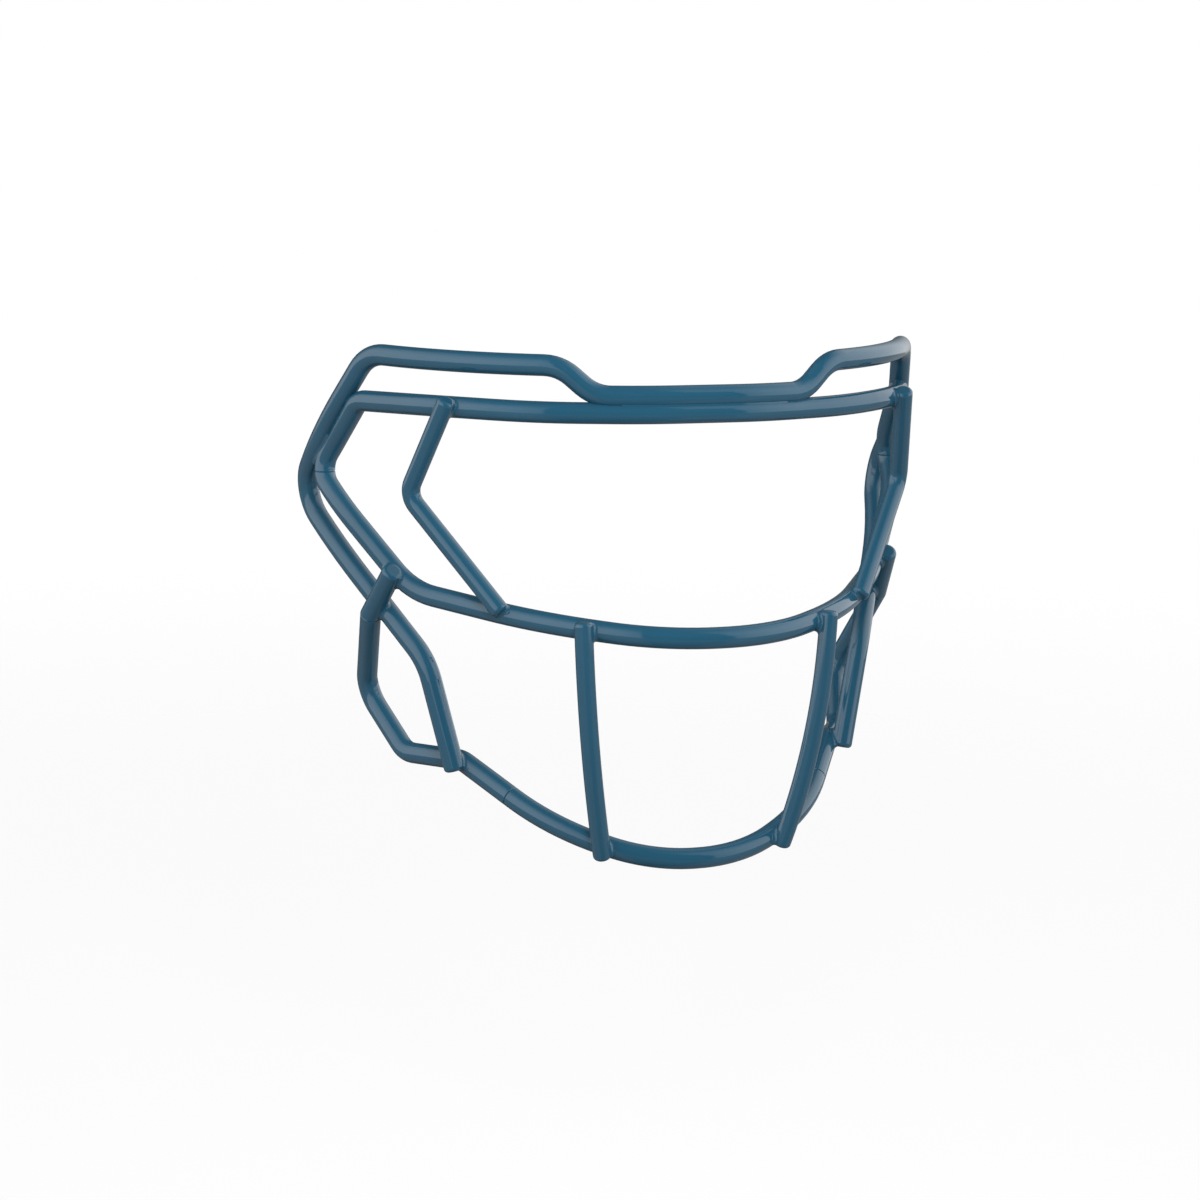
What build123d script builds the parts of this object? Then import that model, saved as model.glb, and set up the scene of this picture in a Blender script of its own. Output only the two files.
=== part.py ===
from build123d import *
import os
from math import radians, tan

# Football helmet face mask: a welded and coated cage of bent steel wire.
# +X is the wearer's left, -Y is straight ahead and +Z is up. The origin is the centre
# of the mask's box, on the plane that mirrors its left side onto its right side.
# All lengths are millimetres.

# Overall sizes, measured between the centre lines of the wires
half_width = 106.5
half_depth = 57.5
half_height = 81.0

# Wire, with its coat
wire_size = 7.0
bar_size = 6.1
end_round = 1.4
seam_chamfer = 0.25

# How far one wire is pressed into the other where they are welded
set_down = 1.6
side_bar_lower_set_down = 2.9
hook_set_down = 3.3

# Bend radii, on the centre line of the wire
brow_step_bend = 14.0
brow_corner_bend = 16.0
temple_bend = 12.0
cheek_bend = 20.0
eye_corner_bend = 8.5
eye_side_bend = 7.0
eye_cheek_bend = 28.0
side_bar_bend = 6.5
jaw_corner_bend = 9.0
jaw_step_bend = 9.5

# How far a wire's end runs on past the middle of the wire that it is welded to
side_bar_upper_overhang = 3.6
front_bar_upper_overhang = 4.2
front_bar_lower_overhang = 2.7
hook_overhang = 3.6

# The side bar's lower end stops short of the middle of the nose wire
side_bar_lower_setback = 3.0

# The front bars bow outwards between their ends
front_bar_bow = 3.0

# Weld beads, measured out from the thinner wire of each pair
bead_flare = 1.2
bead_height = 2.4
temple_bead_flare = 0.4
hook_bead_flare = 1.5
hook_bead_height = 3.2
strip_width = 5.2
strip_height = 2.2

# A gentle corner's curve takes this share of the run that it has on each side
gentle_share = 0.96
GENTLE = None

# Corner places, as shares of half_width, half_depth and half_height
brow_flat_share = (0.188, -0.700, 0.815)
brow_sweep_share = (0.500, -0.530, 0.815)
brow_side_share = (0.735, -0.265, 0.824)
eye_corner_share = (0.916, 0.412, 0.802)
step_foot_share = 0.338
step_top_share = (0.437, -0.546, 1.0)
brow_rise_share = (0.728, -0.262, 1.0)
brow_corner_share = (0.900, 0.322, 1.0)
temple_upper_share = (0.991, 0.722, 0.648)
temple_share = (1.002, 1.104, 0.372)
temple_lower_share = (0.932, 0.740, 0.162)
cheek_share = (0.736, 0.135, -0.253)
outer_end_share = (0.657, 0.028, -0.703)
eye_side_upper_share = 0.095
eye_side_share = 0.44
eye_side_lower_share = (0.949, 0.580, 0.362)
eye_cheek_share = (0.779, 0.176, 0.036)
nose_sweep_share = (0.500, -0.575, -0.019)
nose_flat_share = (0.178, -1.002, -0.056)
side_bar_bend_share = (0.822, -0.005, 0.452)
jaw_corner_share = (0.822, 0.850, -0.462)
jaw_step_share = (0.746, 0.480, -0.685)
chin_sweep_share = (0.427, -0.437, -0.877)
chin_flat_share = (0.153, -0.724, -1.0)

# Where the eye loop's side bend lies from the outer wire, as shares of wire_size
eye_side_upper_offset_share = (-0.57, -0.34, -0.39)
eye_side_offset_share = (-0.21, -0.50, -0.51)

# Places along a wire, as shares of its length from its left end
side_bar_upper_seat_share = 0.2625
side_bar_lower_seat_share = 0.301
front_bar_upper_seat_share = 0.378
front_bar_lower_seat_share = 0.27
hook_outer_seat_share = 0.105
outer_end_seat_share = 0.004
temple_seat_share = 0.009
chin_seam_share = 0.56
brow_weld_share = 0.42
hook_drop = 3.6

LEFT, RIGHT = 1, -1
SIDES = ((LEFT, "left"), (RIGHT, "right"))
side_by_side = wire_size - set_down
bar_on_wire = (wire_size + bar_size) / 2 - set_down
hook_on_wire = wire_size - hook_set_down
side_bar_on_nose = (wire_size + bar_size) / 2 - side_bar_lower_set_down


def place(share):
    """The point on the wearer's left at shares of the mask's half sizes."""
    return Vector(share[0] * half_width, share[1] * half_depth, share[2] * half_height)


def on_side(side, point):
    """The same point on the left (1) or on the right (-1)."""
    return Vector(side * point.X, point.Y, point.Z)


def between(start, end, share):
    return start + (end - start) * share


def turn(before, corner, after):
    """How far a path turns at a corner, in radians."""
    return radians((corner - before).get_angle(after - corner))


def bend_radii(points, bends):
    """One radius for each corner between the two ends of a path.

    A named bend keeps its radius. A gentle one is as large as its runs allow, where a
    run between two gentle corners is shared by both.
    """
    last = len(points) - 1
    turns = [0] + [turn(*points[i - 1 : i + 2]) for i in range(1, last)] + [0]
    bends = [0, *bends, 0]
    tangents = [0 if bend is GENTLE else bend * tan(angle / 2) for bend, angle in zip(bends, turns)]

    def room(corner, neighbour):
        run = (points[corner] - points[neighbour]).length
        return run / 2 if bends[neighbour] is GENTLE else run - tangents[neighbour]

    radii = []
    for i in range(1, last):
        if bends[i] is GENTLE:
            tangent = gentle_share * min(room(i, i - 1), room(i, i + 1))
            radii.append(tangent / tan(turns[i] / 2))
        else:
            radii.append(bends[i])
    return radii


def whole_width(points, bends):
    """A left half's corners and bends, carried across the middle to the right."""
    mirrored = [on_side(RIGHT, point) for point in reversed(points)]
    return points + mirrored, bends + bends[::-1]


def bent_line(points, bends):
    """The centre line of a bent wire: straight runs joined by tangent arcs."""
    with BuildLine() as line:
        FilletPolyline(*points, radius=bend_radii(points, bends))
    return line.line


def outward(direction, point):
    """The same direction, turned to point away from the head."""
    facing = Vector(point.X, point.Y, 0)
    return direction if direction.dot(facing) > 0 else -direction


def seat_normal(line, share, toward):
    """The way out of a wire, square to it and to the wire that crosses it."""
    foot = line @ share
    return outward((line % share).cross(toward - foot).normalized(), foot)


def sweep_wire(line, size):
    """Add a round wire of the given size to the part being built."""
    with BuildSketch(Plane(origin=line @ 0, z_dir=line % 0)) as section:
        Circle(size / 2)
    sweep(sections=section.sketch, path=line)


def end_rims(wire, *points):
    """The rims of a wire's end faces that lie at the given points."""
    return [wire.faces().sort_by_distance(point)[0].edges()[0] for point in points]


# Outer wire: level over the brow, round the temples and down to the jaw
brow_flat = place(brow_flat_share)
brow_sweep = place(brow_sweep_share)
raised = Vector(0, 0, side_by_side)
foot_x = step_foot_share * half_width
foot_run = (foot_x - brow_flat.X) / (brow_sweep.X - brow_flat.X)
outer_flat = brow_flat + raised
step_foot = between(brow_flat, brow_sweep, foot_run) + raised
step_top = place(step_top_share)
temple_upper = place(temple_upper_share)
temple = place(temple_share)

# Over the brow both wires run level and bend round one axis, as gently as the room
# before the outer wire's step allows
step_tangent = brow_step_bend * tan(turn(outer_flat, step_foot, step_top) / 2)
step_start = step_foot + (outer_flat - step_foot).normalized() * step_tangent
flat_room = min((step_start - outer_flat).length, outer_flat.X)
flat_turn = turn(brow_sweep, brow_flat, on_side(RIGHT, brow_flat))
brow_flat_bend = gentle_share * flat_room / tan(flat_turn / 2)
lap_level = brow_flat.Z + side_by_side / 2

outer_corners, outer_bends = whole_width(
    [
        place(outer_end_share),
        place(cheek_share),
        place(temple_lower_share),
        temple,
        temple_upper,
        place(brow_corner_share),
        place(brow_rise_share),
        step_top,
        step_foot,
        outer_flat,
    ],
    [
        cheek_bend,
        GENTLE,
        temple_bend,
        GENTLE,
        brow_corner_bend,
        GENTLE,
        brow_step_bend,
        brow_step_bend,
        brow_flat_bend,
    ],
)
outer_line = bent_line(outer_corners, outer_bends)


def press_flat(away):
    """Flatten a wire's top (1) or underside (-1) where the two lie level together."""
    with Locations((0, 0, lap_level + away * wire_size / 2)):
        Box(2 * step_start.X, 2 * half_depth, wire_size, mode=Mode.SUBTRACT)


with BuildPart() as outer_wire:
    sweep_wire(outer_line, wire_size)
    fillet(end_rims(outer_wire, outer_line @ 0, outer_line @ 1), radius=end_round)
    press_flat(-1)

with BuildPart() as outer_sides:
    add(outer_wire.part)
    Box(2 * step_start.X, 2 * half_depth, 2 * (half_height + wire_size), mode=Mode.SUBTRACT)

# Eye loop: its side bends nest against the outer wire at the temples
eye_side_upper = between(temple_upper, temple, eye_side_upper_share)
eye_side_upper += Vector(*eye_side_upper_offset_share) * wire_size
eye_side = between(temple_upper, temple, eye_side_share)
eye_side += Vector(*eye_side_offset_share) * wire_size
eye_side_lower = place(eye_side_lower_share)
brow_corners, brow_bends = whole_width(
    [
        eye_side_lower,
        eye_side,
        eye_side_upper,
        place(eye_corner_share),
        place(brow_side_share),
        brow_sweep,
        brow_flat,
    ],
    [eye_side_bend, GENTLE, eye_corner_bend, GENTLE, GENTLE, brow_flat_bend],
)
brow_line = bent_line(brow_corners, brow_bends)
nose_corners, nose_bends = whole_width(
    [
        eye_side_upper,
        eye_side,
        eye_side_lower,
        place(eye_cheek_share),
        place(nose_sweep_share),
        place(nose_flat_share),
    ],
    [eye_side_bend, GENTLE, eye_cheek_bend, GENTLE, GENTLE],
)
nose_line = bent_line(nose_corners, nose_bends)
seam_level = Plane.XY.offset(eye_side.Z)

with BuildPart() as brow_wire:
    sweep_wire(brow_line, wire_size)
    split(bisect_by=seam_level, keep=Keep.TOP)
    chamfer(brow_wire.edges().group_by(Axis.Z)[0], length=seam_chamfer)
    press_flat(1)
    add(outer_sides.part, mode=Mode.SUBTRACT)

with BuildPart() as nose_wire:
    sweep_wire(nose_line, wire_size)
    split(bisect_by=seam_level, keep=Keep.BOTTOM)
    chamfer(nose_wire.edges().group_by(Axis.Z)[-1], length=seam_chamfer)
    add(outer_wire.part, mode=Mode.SUBTRACT)


def seat(line, share, toward, gap):
    """Where the centre line of a crossing wire lies over the wire that carries it."""
    return (line @ share) + seat_normal(line, share, toward) * gap


def nearest_share(line, point):
    """Where along a wire, as a share of its length, it comes nearest to a point."""
    wire = Wire(line.edges())
    nearest = wire.distance_to_with_closest_points(point)[1]
    return wire.param_at_point(nearest)


# Jaw wire: hooked over the eye loop and the outer wire, then down, in and round the chin
chin_sweep = place(chin_sweep_share)
outer_end_foot = outer_line @ outer_end_seat_share
jaw_end_normal = seat_normal(outer_line, outer_end_seat_share, chin_sweep)
jaw_inner = outer_end_foot - jaw_end_normal * side_by_side
chin_seam = between(jaw_inner, chin_sweep, chin_seam_share)
chin_corners, chin_bends = whole_width(
    [chin_seam, chin_sweep, place(chin_flat_share)],
    [GENTLE, GENTLE],
)
chin_line = bent_line(chin_corners, chin_bends)

hook_outer_foot = outer_line @ hook_outer_seat_share
hook_eye_seat_share = nearest_share(nose_line, hook_outer_foot)
hook_eye_foot = nose_line @ hook_eye_seat_share
hook_eye_seat = seat(nose_line, hook_eye_seat_share, hook_outer_foot, hook_on_wire)
hook_outer_seat = seat(outer_line, hook_outer_seat_share, hook_eye_foot, hook_on_wire)
hook_run = (hook_outer_seat - hook_eye_seat).normalized()
hook_end = hook_eye_seat - hook_run * hook_overhang
jaw_upper = hook_outer_seat + hook_run * hook_drop
jaw_corner = place(jaw_corner_share)
jaw_step = place(jaw_step_share)
jaw_run = (jaw_corner - jaw_upper).normalized()
jaw_mitre = hook_run + jaw_run

with BuildPart() as chin_wire:
    sweep_wire(chin_line, wire_size)
    chamfer(end_rims(chin_wire, chin_line @ 0, chin_line @ 1), length=seam_chamfer)


def jaw_hook(side):
    """The straight piece that hooks over the eye loop and the outer wire."""
    start = on_side(side, hook_end)
    corner = on_side(side, jaw_upper)
    beyond = on_side(side, jaw_upper + hook_run * wire_size)
    with BuildLine() as line:
        Line(start, beyond)
    with BuildPart() as hook:
        sweep_wire(line.line, wire_size)
        fillet(end_rims(hook, start), radius=end_round)
        split(bisect_by=Plane(origin=corner, z_dir=on_side(side, jaw_mitre)), keep=Keep.BOTTOM)
        chamfer(end_rims(hook, corner), length=seam_chamfer)
        add(nose_wire.part, mode=Mode.SUBTRACT)
        add(outer_wire.part, mode=Mode.SUBTRACT)
    return hook


def jaw_wire(side):
    """From the hook down behind the jaw, forward and in to the chin seam."""
    corners = [jaw_upper - jaw_run * wire_size, jaw_corner, jaw_step, jaw_inner, chin_seam]
    corners = [on_side(side, point) for point in corners]
    line = bent_line(corners, [jaw_corner_bend, jaw_step_bend, jaw_step_bend])
    mitre = on_side(side, jaw_mitre)
    with BuildPart() as jaw:
        sweep_wire(line, wire_size)
        split(bisect_by=Plane(origin=on_side(side, jaw_upper), z_dir=mitre), keep=Keep.TOP)
        chamfer(end_rims(jaw, on_side(side, jaw_upper), line @ 1), length=seam_chamfer)
        add(outer_wire.part, mode=Mode.SUBTRACT)
    return jaw


# Side bars: bent outwards in the middle, on the front of the eye loop
side_bar_bend_point = place(side_bar_bend_share)
side_bar_upper_foot = brow_line @ side_bar_upper_seat_share
side_bar_lower_foot = nose_line @ side_bar_lower_seat_share
side_bar_upper_seat = seat(brow_line, side_bar_upper_seat_share, side_bar_bend_point, bar_on_wire)
side_bar_lower_seat = seat(
    nose_line, side_bar_lower_seat_share, side_bar_bend_point, side_bar_on_nose
)


def beyond_seat(seat_point, inner, overhang):
    """The end of a wire that runs on straight past its seat, or short of it if negative."""
    return seat_point + (seat_point - inner).normalized() * overhang


side_bar_lower_end = beyond_seat(side_bar_lower_seat, side_bar_bend_point, -side_bar_lower_setback)


def side_bar(side):
    """One thin bar from the brow down to the nose wire."""
    corners = [
        beyond_seat(side_bar_upper_seat, side_bar_bend_point, side_bar_upper_overhang),
        side_bar_bend_point,
        side_bar_lower_end,
    ]
    line = bent_line([on_side(side, point) for point in corners], [side_bar_bend])
    with BuildPart() as bar:
        sweep_wire(line, bar_size)
        fillet(end_rims(bar, line @ 0, line @ 1), radius=end_round)
        add(brow_wire.part, mode=Mode.SUBTRACT)
        add(nose_wire.part, mode=Mode.SUBTRACT)
    return bar


# Front bars: from the nose wire down to the chin wire
front_bar_upper_foot = nose_line @ front_bar_upper_seat_share
front_bar_lower_foot = chin_line @ front_bar_lower_seat_share
front_bar_upper_seat = seat(nose_line, front_bar_upper_seat_share, front_bar_lower_foot, bar_on_wire)
front_bar_lower_seat = seat(chin_line, front_bar_lower_seat_share, front_bar_upper_foot, bar_on_wire)
front_bar_outwards = front_bar_upper_seat - front_bar_upper_foot
front_bar_outwards += front_bar_lower_seat - front_bar_lower_foot
front_bar_middle = between(front_bar_upper_seat, front_bar_lower_seat, 1 / 2)
front_bar_middle += front_bar_outwards.normalized() * front_bar_bow


def front_bar(side):
    """One thin bowed bar, with a straight end past each seat."""
    upper = on_side(side, front_bar_upper_seat)
    lower = on_side(side, front_bar_lower_seat)
    with BuildLine() as line:
        bow = ThreePointArc(upper, on_side(side, front_bar_middle), lower)
        Line(upper - (bow % 0) * front_bar_upper_overhang, upper)
        Line(lower, lower + (bow % 1) * front_bar_lower_overhang)
    ends = line.line.vertices().sort_by(Axis.Z)
    with BuildPart() as bar:
        sweep_wire(line.line, bar_size)
        fillet(end_rims(bar, ends[0].center(), ends[-1].center()), radius=end_round)
        add(nose_wire.part, mode=Mode.SUBTRACT)
        add(chin_wire.part, mode=Mode.SUBTRACT)
    return bar


# Weld beads: squeezed out round each pair of wires where they touch
# A bead's reach and its height, to each side of the middle
bar_bead = (bar_size / 2 + bead_flare, bead_height)
wire_bead = (wire_size / 2 + bead_flare, bead_height)
hook_bead = (wire_size / 2 + hook_bead_flare, hook_bead_height)
temple_bead = (wire_size / 2 + temple_bead_flare, bead_height)
temple_seat = nose_line @ temple_seat_share
temple_foot = outer_line @ nearest_share(outer_line, temple_seat)


def bead(side, foot, seat_point, size, wires):
    """A round cushion half way between two centre lines, less the wires themselves."""
    reach, height = size
    contact = on_side(side, between(foot, seat_point, 1 / 2))
    outline = Plane(origin=contact, z_dir=on_side(side, seat_point - foot))
    with BuildPart() as weld:
        with BuildSketch(Plane(origin=contact, x_dir=outline.x_dir, z_dir=outline.y_dir)) as half:
            with BuildLine():
                ThreePointArc((0, -height), (reach, 0), (0, height))
                Line((0, height), (0, -height))
            make_face()
        revolve(half.sketch, axis=Axis(contact, outline.z_dir))
        for wire in wires:
            add(wire.part, mode=Mode.SUBTRACT)
    return weld


def brow_weld_strips():
    """The filled grooves in front of and behind the wires where they lie together."""
    run = Wire(brow_line.edges()).trim(brow_weld_share, 1 - brow_weld_share)
    line = run.translate(raised / 2)
    with BuildPart() as weld:
        with BuildSketch(Plane(origin=line @ 0, x_dir=(0, 0, 1), z_dir=line % 0)) as section:
            Rectangle(strip_height, strip_width)
            with Locations((side_by_side / 2, 0), (-side_by_side / 2, 0)):
                Circle(wire_size / 2, mode=Mode.SUBTRACT)
        sweep(sections=section.sketch, path=line)
    return weld


pieces = {
    "outer_wire": outer_wire,
    "brow_wire": brow_wire,
    "nose_wire": nose_wire,
    "chin_wire": chin_wire,
    "brow_weld": brow_weld_strips(),
}
for side, name in SIDES:
    hook, jaw = jaw_hook(side), jaw_wire(side)
    side_piece, front_piece = side_bar(side), front_bar(side)
    pieces[name + "_jaw_hook"] = hook
    pieces[name + "_jaw_wire"] = jaw
    pieces[name + "_side_bar"] = side_piece
    pieces[name + "_front_bar"] = front_piece
    welds = {
        "side_bar_upper": (side_bar_upper_foot, side_bar_upper_seat, bar_bead, (brow_wire, side_piece)),
        "side_bar_lower": (side_bar_lower_foot, side_bar_lower_end, bar_bead, (nose_wire, side_piece)),
        "front_bar_upper": (front_bar_upper_foot, front_bar_upper_seat, bar_bead, (nose_wire, front_piece)),
        "front_bar_lower": (front_bar_lower_foot, front_bar_lower_seat, bar_bead, (chin_wire, front_piece)),
        "hook_eye": (hook_eye_foot, hook_eye_seat, hook_bead, (nose_wire, hook)),
        "hook_outer": (hook_outer_foot, hook_outer_seat, hook_bead, (outer_wire, hook, jaw)),
        "outer_end": (outer_end_foot, jaw_inner, wire_bead, (outer_wire, jaw)),
        "temple": (temple_foot, temple_seat, temple_bead, (outer_wire, brow_wire, nose_wire)),
    }
    for place_name, sizes in welds.items():
        pieces[name + "_" + place_name + "_weld"] = bead(side, *sizes)

os.makedirs("parts", exist_ok=True)
for name, piece in pieces.items():
    piece.part.label = name
    export_step(piece.part, "parts/" + name + ".step")
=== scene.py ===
# %% [markdown]
# # A welded football face mask
#
# The object is a cage of bent steel wire with one glossy slate blue coat over it. The
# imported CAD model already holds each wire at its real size, so it is loaded first, as
# a fixed frame, and everything else is fitted to it.

from math import pi, radians

import bmesh
import bpy
from mathutils import Matrix, Vector


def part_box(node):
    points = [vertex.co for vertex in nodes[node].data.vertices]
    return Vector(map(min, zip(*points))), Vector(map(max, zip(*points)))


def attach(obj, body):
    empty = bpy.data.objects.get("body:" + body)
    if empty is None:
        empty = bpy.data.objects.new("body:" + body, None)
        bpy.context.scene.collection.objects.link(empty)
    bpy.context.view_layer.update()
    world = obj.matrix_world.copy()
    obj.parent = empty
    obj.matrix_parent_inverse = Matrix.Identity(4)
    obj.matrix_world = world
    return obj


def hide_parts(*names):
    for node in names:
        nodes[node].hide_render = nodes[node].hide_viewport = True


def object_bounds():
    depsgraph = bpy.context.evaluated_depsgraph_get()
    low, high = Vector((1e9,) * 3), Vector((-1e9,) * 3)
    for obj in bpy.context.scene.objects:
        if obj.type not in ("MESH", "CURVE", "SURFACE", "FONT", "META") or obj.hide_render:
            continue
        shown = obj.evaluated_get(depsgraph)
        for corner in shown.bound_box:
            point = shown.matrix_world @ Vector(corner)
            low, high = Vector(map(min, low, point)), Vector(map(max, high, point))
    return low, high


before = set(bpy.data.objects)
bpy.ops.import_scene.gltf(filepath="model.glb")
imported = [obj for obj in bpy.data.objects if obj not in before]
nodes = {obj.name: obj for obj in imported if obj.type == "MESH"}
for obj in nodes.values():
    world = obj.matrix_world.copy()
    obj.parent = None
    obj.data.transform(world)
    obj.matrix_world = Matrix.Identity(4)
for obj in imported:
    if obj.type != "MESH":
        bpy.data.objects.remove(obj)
cad_low, cad_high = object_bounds()
print("CAD nodes:", len(nodes))

# %% [markdown]
# ## Sizes
#
# Blender works in metres here. Every size of the mask is named once, in millimetres
# times MM, so that it can be checked against the real thing. The studio round it is
# large and rough, so its sizes are in metres.

# %% Sizes
MM = 0.001
print("mask in mm:", [round(side / MM, 1) for side in (cad_high - cad_low)])

# %% [markdown]
# ## The coat
#
# Powder coat is sprayed on as dry plastic dust and melted in an oven. It flows into a
# thick, even skin that is glossy on top. A Principled shader alone gives that gloss: it
# reflects like any clear plastic, sharp enough to show the edges of a soft box. Two
# things keep it from looking like paint on a computer model. The skin is slightly
# wavy, a bump of a few thousandths of a millimetre, and it is a shade deeper where it
# lies thicker. Both read Object coordinates, so they stay on the wire from any side.

# %% Values of the coat
slate_blue = (0.017, 0.0834, 0.1416)
plastic_ior = 1.56
wire_roughness, weld_roughness = 0.05, 0.08
thick_shade, thin_shade = 0.94, 1.06
depth_patches = 60  # in a metre, so each is about 17 mm long
waves = 260  # in a metre, so each is about 4 mm long
wave_height = 0.006 * MM
print("height of the waves in mm:", round(wave_height / MM, 3))


# %% A coat material
def link(tree, start, end):
    """Join a node's output to another node's input."""
    tree.links.new(start, end)


def soft_noise(tree, patches, detail):
    """A pattern that is fixed to the piece, with so many patches in a metre."""
    place = tree.nodes.new("ShaderNodeTexCoord")
    noise = tree.nodes.new("ShaderNodeTexNoise")
    noise.inputs["Scale"].default_value = patches
    noise.inputs["Detail"].default_value = detail
    link(tree, place.outputs["Object"], noise.inputs["Vector"])
    return noise.outputs["Fac"]


def powder_coat(name, colour, roughness):
    """A glossy coat that is slightly wavy and a little uneven in depth."""
    material = bpy.data.materials.new(name)
    material.use_nodes = True
    tree = material.node_tree
    shader = tree.nodes["Principled BSDF"]
    shader.inputs["Roughness"].default_value = roughness
    shader.inputs["IOR"].default_value = plastic_ior

    shades = tree.nodes.new("ShaderNodeMix")
    shades.data_type = "RGBA"
    shades.inputs["A"].default_value = (*[part * thick_shade for part in colour], 1)
    shades.inputs["B"].default_value = (*[part * thin_shade for part in colour], 1)
    link(tree, soft_noise(tree, depth_patches, detail=2), shades.inputs["Factor"])
    link(tree, shades.outputs["Result"], shader.inputs["Base Color"])

    bump = tree.nodes.new("ShaderNodeBump")
    bump.inputs["Strength"].default_value = 1
    bump.inputs["Distance"].default_value = wave_height
    link(tree, soft_noise(tree, waves, detail=1), bump.inputs["Height"])
    link(tree, bump.outputs["Normal"], shader.inputs["Normal"])
    return material


# %% Coats for the wires and the welds
wire_coat = powder_coat("slate_blue_wire_coat", slate_blue, wire_roughness)
weld_coat = powder_coat("slate_blue_weld_coat", slate_blue, weld_roughness)
for name, node in nodes.items():
    coat = weld_coat if name.endswith("_weld") else wire_coat
    for material_slot in node.material_slots:
        material_slot.material = coat
print("coated nodes:", len(nodes))

# %% [markdown]
# ## Fillets over the welds
#
# Where two wires cross, a small weld fuses them, and the coat flows over it, so that no
# seam is left: one wire's skin runs into the other's in a small smooth fillet. Such a
# shape has no edges to build it from. It is made as a mould maker would roll a ball
# along the corner. Short closed copies of the wires are put together, and a voxel
# Remesh turns them into one skin. The skin swells by the fillet's radius, which closes
# the corners, is remeshed, and shrinks back by a hair more. The stretches of wire then
# lie just under the real wires, and only the fillets stand proud.
#
# A stretch is a copy of the wire's mesh, its loose triangles joined first. It is cut
# to a box with bisect_plane, and each cut is closed, as a voxel Remesh needs.

# %% Values of a fillet
fillet_radius = 0.8 * MM
sink = 0.02 * MM  # how deep the copied wire lies under the real one
wire_reach = 3.5 * MM  # how far past the weld's box a wire is copied
same_place = 0.0001 * MM  # points nearer to each other than this are joined
voxel = 0.22 * MM
smoothing_rounds, smoothing_share = 6, 0.5
print("fillet radius in mm:", round(fillet_radius / MM, 2))


# %% A closed stretch of wire
def short_stretch(name, low, high):
    """A closed copy of the part of a wire that lies in a box."""
    stretch = bmesh.new()
    stretch.from_mesh(nodes[name].data)
    bmesh.ops.remove_doubles(stretch, verts=stretch.verts, dist=same_place)
    for axis in range(3):
        for corner, way in ((low, -1), (high, 1)):
            outward = Vector((0, 0, 0))
            outward[axis] = way
            bmesh.ops.bisect_plane(
                stretch,
                geom=[*stretch.verts, *stretch.edges, *stretch.faces],
                plane_co=corner,
                plane_no=outward,
                clear_outer=True,
            )
            rim = [edge for edge in stretch.edges if edge.is_boundary]
            bmesh.ops.holes_fill(stretch, edges=rim)
    return stretch


# %% The stretches round a weld
def crossing(weld, wires):
    """An object of the stretches of wire round a weld, on the wearer's left."""
    low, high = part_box(weld)
    room = Vector((1, 1, 1)) * wire_reach
    stretches = bmesh.new()
    for name in wires:
        stretch = short_stretch(name, low - room, high + room)
        part = bpy.data.meshes.new("stretch")
        stretch.to_mesh(part)
        stretch.free()
        stretches.from_mesh(part)
        bpy.data.meshes.remove(part)
    mesh = bpy.data.meshes.new("lump")
    stretches.to_mesh(mesh)
    stretches.free()
    lump = bpy.data.objects.new("lump", mesh)
    bpy.context.scene.collection.objects.link(lump)
    return lump


# %% One skin with filled corners
def add_remesh(lump, name):
    """A voxel Remesh, which makes one skin of all closed shapes that overlap."""
    skin = lump.modifiers.new(name, "REMESH")
    skin.mode = "VOXEL"
    skin.voxel_size = voxel


def add_swelling(lump, name, distance):
    """Move the skin outwards, or inwards where the distance is negative."""
    swelling = lump.modifiers.new(name, "DISPLACE")
    swelling.mid_level = 0
    swelling.strength = distance


def soft_skin(weld, wires):
    """The mesh of a fillet, on the wearer's left."""
    lump = crossing(weld, wires)
    add_remesh(lump, "one_skin")
    add_swelling(lump, "swell", fillet_radius)
    add_remesh(lump, "corners_closed")
    add_swelling(lump, "shrink", -fillet_radius - sink)
    smooth = lump.modifiers.new("even_out", "SMOOTH")
    smooth.factor = smoothing_share
    smooth.iterations = smoothing_rounds
    graph = bpy.context.evaluated_depsgraph_get()
    skin = bpy.data.meshes.new_from_object(lump.evaluated_get(graph))
    rough = lump.data
    bpy.data.objects.remove(lump)
    bpy.data.meshes.remove(rough)
    return skin


# %% [markdown]
# ## A fillet for each weld
#
# The mask's right side mirrors its left, so a fillet is always shaped on the left and
# mirrored for the right. Mirroring turns a mesh inside out. Its normals are worked out
# again, and its volume then tells whether they really point outwards. The two long
# strips along the brow are plain and even, so the CAD model's own are kept there.


# %% A fillet on one side
def fillet(side, weld, wires):
    """A fillet that stands for one weld, mirrored where it is on the right."""
    left_wires = [name if name in nodes else "left_" + name for name in wires]
    skin = bmesh.new()
    skin.from_mesh(soft_skin("left_" + weld, left_wires))
    if side == "right":
        bmesh.ops.scale(skin, verts=skin.verts, vec=(-1, 1, 1))
        bmesh.ops.remove_doubles(skin, verts=skin.verts, dist=same_place)
        bmesh.ops.recalc_face_normals(skin, faces=skin.faces)
        if skin.calc_volume(signed=True) < 0:
            bmesh.ops.reverse_faces(skin, faces=skin.faces)
    name = f"{side}_{weld}"
    mesh = bpy.data.meshes.new(name + "_fillet")
    skin.to_mesh(mesh)
    skin.free()
    mesh.shade_smooth()
    mesh.materials.append(weld_coat)
    piece = bpy.data.objects.new(name + "_fillet", mesh)
    bpy.context.scene.collection.objects.link(piece)
    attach(piece, "root")
    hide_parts(name)
    return piece


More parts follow.
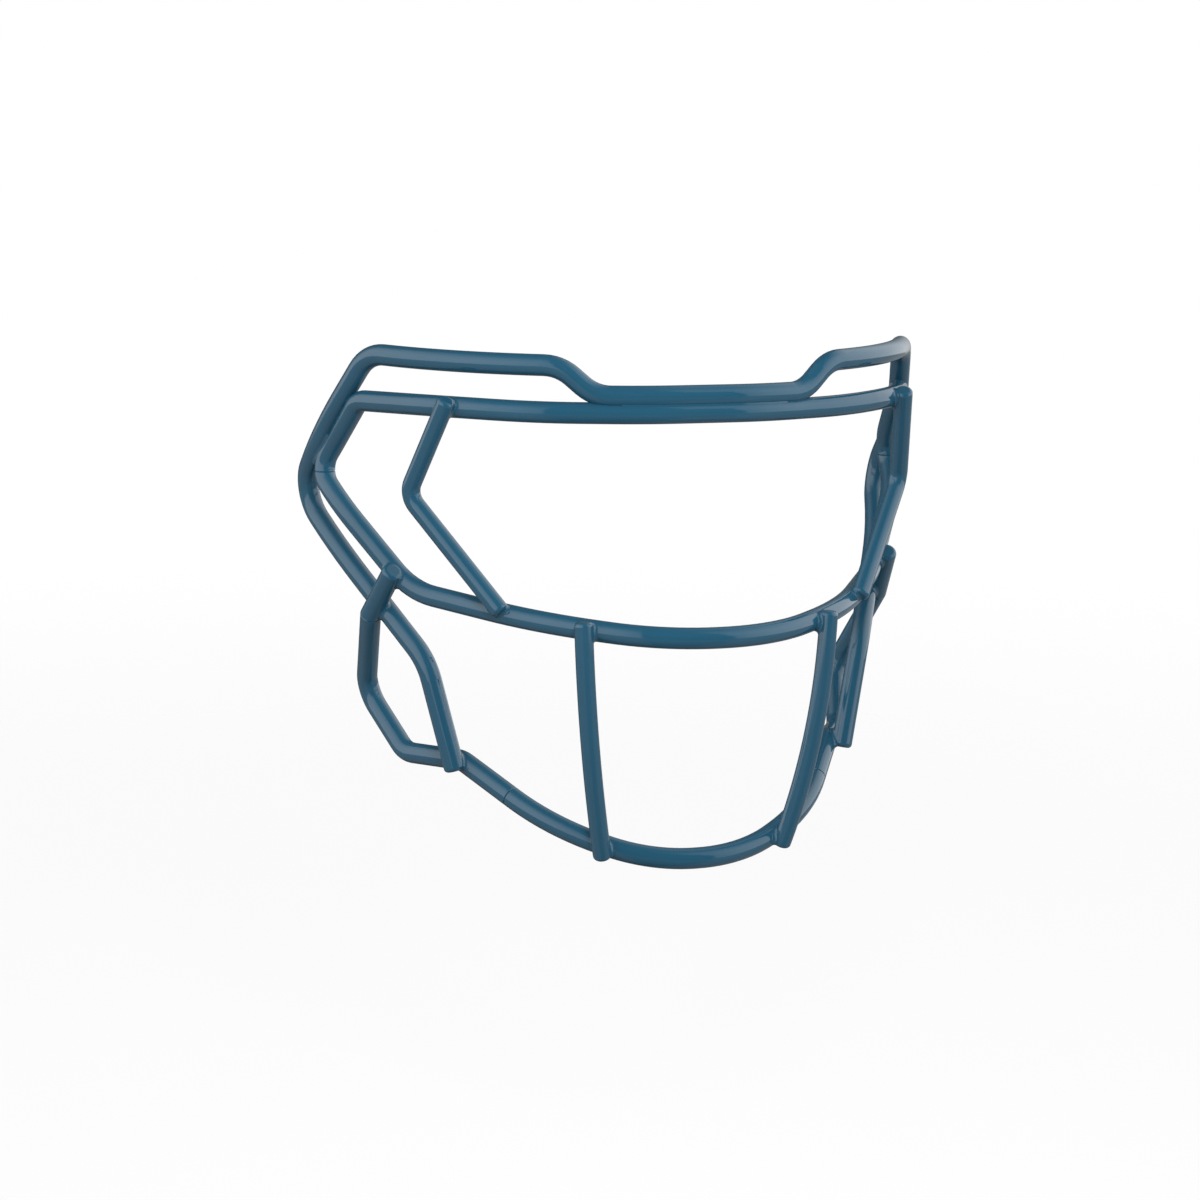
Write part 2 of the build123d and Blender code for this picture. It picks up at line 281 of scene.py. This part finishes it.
# %% All the fillets
# The jaw wire only butts against the hook. It is left out of the hook's fillet on the
# outer wire, so that the seam between them still shows.
crossings = {
    "side_bar_upper_weld": ("brow_wire", "side_bar"),
    "side_bar_lower_weld": ("nose_wire", "side_bar"),
    "front_bar_upper_weld": ("nose_wire", "front_bar"),
    "front_bar_lower_weld": ("chin_wire", "front_bar"),
    "hook_eye_weld": ("nose_wire", "jaw_hook"),
    "hook_outer_weld": ("outer_wire", "jaw_hook"),
    "outer_end_weld": ("outer_wire", "jaw_wire"),
    "temple_weld": ("outer_wire", "brow_wire", "nose_wire"),
}
for side in ("left", "right"):
    for weld, wires in crossings.items():
        piece = fillet(side, weld, wires)
        print(piece.name, len(piece.data.polygons), "faces")

# %% [markdown]
# ## Camera
#
# The photograph is taken from the wearer's right, a little above the mask, with a
# long lens. The camera's place and turn were found by matching the bends of both
# sides of the mask, which mirror each other.

# %% Camera
camera_place = Vector((-380.1, -1005.8, 183.4)) * MM
camera_turn, camera_fall, camera_roll = radians(19.68), radians(9.8), radians(0.95)
sensor_width, lens = 36, 97.29
camera_data = bpy.data.cameras.new("camera")
camera_data.sensor_width = sensor_width
camera_data.lens = lens
camera = bpy.data.objects.new("camera", camera_data)
aim = (
    Matrix.Rotation(-camera_turn, 4, "Z")
    @ Matrix.Rotation(pi / 2 - camera_fall, 4, "X")
    @ Matrix.Rotation(camera_roll, 4, "Z")
)
camera.matrix_world = Matrix.Translation(camera_place) @ aim
bpy.context.scene.collection.objects.link(camera)
bpy.context.scene.camera = camera
print("camera looks along", [round(part, 3) for part in -aim.to_3x3().col[2]])

# %% [markdown]
# ## Studio
#
# The gloss shows how the mask was lit: a tall soft wall on its left and another on its
# right, each fading to its ends and its top, with the dark room in front, behind and
# above, and a grey table below. A round dome carries all of that as one glowing inner
# surface, brighter or darker by direction. It is much larger than the mask, so every
# wire sees the same studio. The camera looks through it, at a plain white world.

# %% The dome
dome_radius = 3.0
dome_segments, dome_rings = 48, 24
dome_mesh = bpy.data.meshes.new("studio_dome")
ball = bmesh.new()
bmesh.ops.create_uvsphere(
    ball, u_segments=dome_segments, v_segments=dome_rings, radius=dome_radius
)
bmesh.ops.reverse_faces(ball, faces=ball.faces)
ball.to_mesh(dome_mesh)
ball.free()
dome = bpy.data.objects.new("studio_dome", dome_mesh)
bpy.context.scene.collection.objects.link(dome)
dome.visible_camera = False
print("dome faces:", len(dome_mesh.polygons))

# %% [markdown]
# ## The light of the dome
#
# Two angles give the direction: how far round from straight ahead, and how far up. One
# ramp along each says how bright the studio is there, and the two are multiplied. The
# left and right walls are the same, so the angle round is taken without its sign.
# Below the walls two more ramps give the table, grey at the sides and darker in front.


# %% Helpers for ramps of light
def sums(tree, operation, *inputs):
    """A Math node, whose inputs are other nodes' outputs or plain numbers."""
    node = tree.nodes.new("ShaderNodeMath")
    node.operation = operation
    for socket, value in zip(node.inputs, inputs):
        if isinstance(value, (int, float)):
            socket.default_value = value
        else:
            link(tree, value, socket)
    return node.outputs["Value"]


def ramp(tree, angle, low, high, stops):
    """Brightness along an angle, from (degrees, share of full brightness) stops."""
    spread = tree.nodes.new("ShaderNodeMapRange")
    spread.inputs["From Min"].default_value = radians(low)
    spread.inputs["From Max"].default_value = radians(high)
    link(tree, angle, spread.inputs["Value"])
    colours = tree.nodes.new("ShaderNodeValToRGB")
    marks = colours.color_ramp.elements
    while len(marks) < len(stops):
        marks.new(0.5)  # anywhere, because it gets its own place next
    for mark, (degrees, share) in zip(marks, stops):
        mark.position = (degrees - low) / (high - low)
        mark.color = (share, share, share, 1)
    link(tree, spread.outputs["Result"], colours.inputs["Fac"])
    return colours.outputs["Color"]


# %% How bright the studio is by direction
wall_round = (
    (0, 0.01), (27, 0.01), (28.5, 0.42), (42, 0.72), (54, 0.88), (68, 0.98),
    (96, 1.0), (118, 0.9), (132, 0.72), (144, 0.36), (154, 0.08), (180, 0.02),
)
wall_up = (
    (-9, 0.0), (-6.5, 0.98), (8, 1.0), (30, 0.98), (40, 0.86), (50, 0.64),
    (60, 0.38), (70, 0.12), (76, 0.06), (90, 0.04),
)
table_round = ((0, 0.42), (26, 0.42), (34, 1.0), (132, 1.0), (156, 0.5), (180, 0.3))
table_up = ((-90, 0.45), (-76, 0.6), (-58, 0.96), (-40, 1.0), (-9, 1.0), (-6.5, 0.0))
wall_light = 1.75
table_light = 0.375
room_light = 0.025
print("light of wall, table and room:", wall_light, table_light, room_light)

# %% The dome's glow
glow = bpy.data.materials.new("studio_glow")
glow.use_nodes = True
tree = glow.node_tree
tree.nodes.remove(tree.nodes["Principled BSDF"])
place = tree.nodes.new("ShaderNodeTexCoord")
parts = tree.nodes.new("ShaderNodeSeparateXYZ")
link(tree, place.outputs["Object"], parts.inputs["Vector"])
east, north, up = (parts.outputs[axis] for axis in "XYZ")
ahead = sums(tree, "MULTIPLY", north, -1)
turned = sums(tree, "ABSOLUTE", sums(tree, "ARCTAN2", east, ahead))
raised = sums(tree, "ARCSINE", sums(tree, "DIVIDE", up, dome_radius))
wall = sums(
    tree, "MULTIPLY",
    ramp(tree, turned, 0, 180, wall_round),
    ramp(tree, raised, -90, 90, wall_up),
)
table = sums(
    tree, "MULTIPLY",
    ramp(tree, turned, 0, 180, table_round),
    ramp(tree, raised, -90, 90, table_up),
)
walls = sums(tree, "MULTIPLY", wall, wall_light)
both = sums(tree, "MULTIPLY_ADD", table, table_light, walls)
strength = sums(tree, "ADD", both, room_light)
emission = tree.nodes.new("ShaderNodeEmission")
link(tree, strength, emission.inputs["Strength"])
surface = tree.nodes["Material Output"].inputs["Surface"]
link(tree, emission.outputs["Emission"], surface)
dome_mesh.materials.append(glow)
print("nodes that make the glow:", len(tree.nodes))

# %% [markdown]
# ## Front lamps
#
# Two round lamps in front light the fronts of the wires, which the dark middle of the
# dome would leave dull. The higher one is close, so it reaches the brow more than the
# chin. Neither shows in the gloss, where only the dome does.

# %% The lamps
lamp_size = 0.2


def front_lamp(name, turn, rise, distance, brightness):
    """A disc that points at the mask. At brightness 1 a colour shows as it is."""
    data = bpy.data.lights.new(name, "AREA")
    data.shape = "DISK"
    data.size = lamp_size
    data.energy = brightness * (pi * distance) ** 2
    lamp = bpy.data.objects.new(name, data)
    way = (
        Matrix.Rotation(radians(turn), 4, "Z")
        @ Matrix.Rotation(pi / 2 - radians(rise), 4, "X")
    )
    lamp.matrix_world = way @ Matrix.Translation((0, 0, distance))
    lamp.visible_camera = False
    lamp.visible_glossy = False
    bpy.context.scene.collection.objects.link(lamp)
    return lamp


lamps = (
    front_lamp("front_lamp_right", turn=-14, rise=30, distance=0.62, brightness=0.6),
    front_lamp("front_lamp_left", turn=30, rise=1, distance=2.4, brightness=0.16),
)
for lamp in lamps:
    print(lamp.name, [round(part, 2) for part in lamp.matrix_world.translation])

# %% [markdown]
# ## Floor and background
#
# A pale round floor under the mask takes its shadow, and thins out to nothing where
# the white world takes over, so that no edge shows. It stays out of the gloss and casts
# no light back up, because the dome already holds the grey table below the mask. Its
# paint is mixed with plain white for the camera alone, which brings it near the white
# of the world and leaves the shadow in it. From below, where Geometry's Backfacing is
# 1, it is clear, so it never hides the mask.

# %% Floor
floor_drop = 120 * MM
floor_full, floor_end = 0.5, 1.4  # it is whole up to 0.5 m and gone at 1.4 m
floor_height = cad_low.z - floor_drop
floor_sides = 64
floor_mesh = bpy.data.meshes.new("studio_floor")
disc = bmesh.new()
bmesh.ops.create_circle(disc, cap_ends=True, segments=floor_sides, radius=floor_end)
bmesh.ops.translate(disc, verts=disc.verts, vec=(0, 0, floor_height))
disc.to_mesh(floor_mesh)
disc.free()
floor = bpy.data.objects.new("studio_floor", floor_mesh)
bpy.context.scene.collection.objects.link(floor)
floor.visible_glossy = False
floor.visible_diffuse = False
print("height of the floor in mm:", round(floor_height / MM))

# %% Floor paint
paint_white = (0.98, 0.98, 0.98, 1)
paint_roughness = 0.9
white_share = 0.85
floor_paint = bpy.data.materials.new("studio_floor_white")
floor_paint.use_nodes = True
tree = floor_paint.node_tree
shader = tree.nodes["Principled BSDF"]
shader.inputs["Base Color"].default_value = paint_white
shader.inputs["Roughness"].default_value = paint_roughness
place = tree.nodes.new("ShaderNodeTexCoord")
reach = tree.nodes.new("ShaderNodeVectorMath")
reach.operation = "LENGTH"
link(tree, place.outputs["Object"], reach.inputs[0])
fade = tree.nodes.new("ShaderNodeMapRange")
fade.interpolation_type = "SMOOTHSTEP"
fade.inputs["From Min"].default_value = floor_full
fade.inputs["From Max"].default_value = floor_end
fade.inputs["To Min"].default_value = 1
fade.inputs["To Max"].default_value = 0
link(tree, reach.outputs["Value"], fade.inputs["Value"])
side = tree.nodes.new("ShaderNodeNewGeometry")
top = sums(tree, "SUBTRACT", 1, side.outputs["Backfacing"])
cover = sums(tree, "MULTIPLY", fade.outputs["Result"], top)
link(tree, cover, shader.inputs["Alpha"])
white = tree.nodes.new("ShaderNodeEmission")
clear = tree.nodes.new("ShaderNodeBsdfTransparent")
faded_white = tree.nodes.new("ShaderNodeMixShader")
link(tree, cover, faded_white.inputs["Fac"])
link(tree, clear.outputs["BSDF"], faded_white.inputs[1])
link(tree, white.outputs["Emission"], faded_white.inputs[2])
ray = tree.nodes.new("ShaderNodeLightPath")
seen = sums(tree, "MULTIPLY", ray.outputs["Is Camera Ray"], white_share)
blend = tree.nodes.new("ShaderNodeMixShader")
link(tree, seen, blend.inputs["Fac"])
link(tree, shader.outputs["BSDF"], blend.inputs[1])
link(tree, faded_white.outputs["Shader"], blend.inputs[2])
surface = tree.nodes["Material Output"].inputs["Surface"]
link(tree, blend.outputs["Shader"], surface)
floor_mesh.materials.append(floor_paint)
print("white mixed into the floor for the camera:", white_share)

# %% World and view
world = bpy.data.worlds.new("studio_world")
world.use_nodes = True
world.node_tree.nodes["Background"].inputs["Color"].default_value = (1, 1, 1, 1)
bpy.context.scene.world = world
bpy.context.scene.view_settings.view_transform = "Standard"
print("view transform:", bpy.context.scene.view_settings.view_transform)
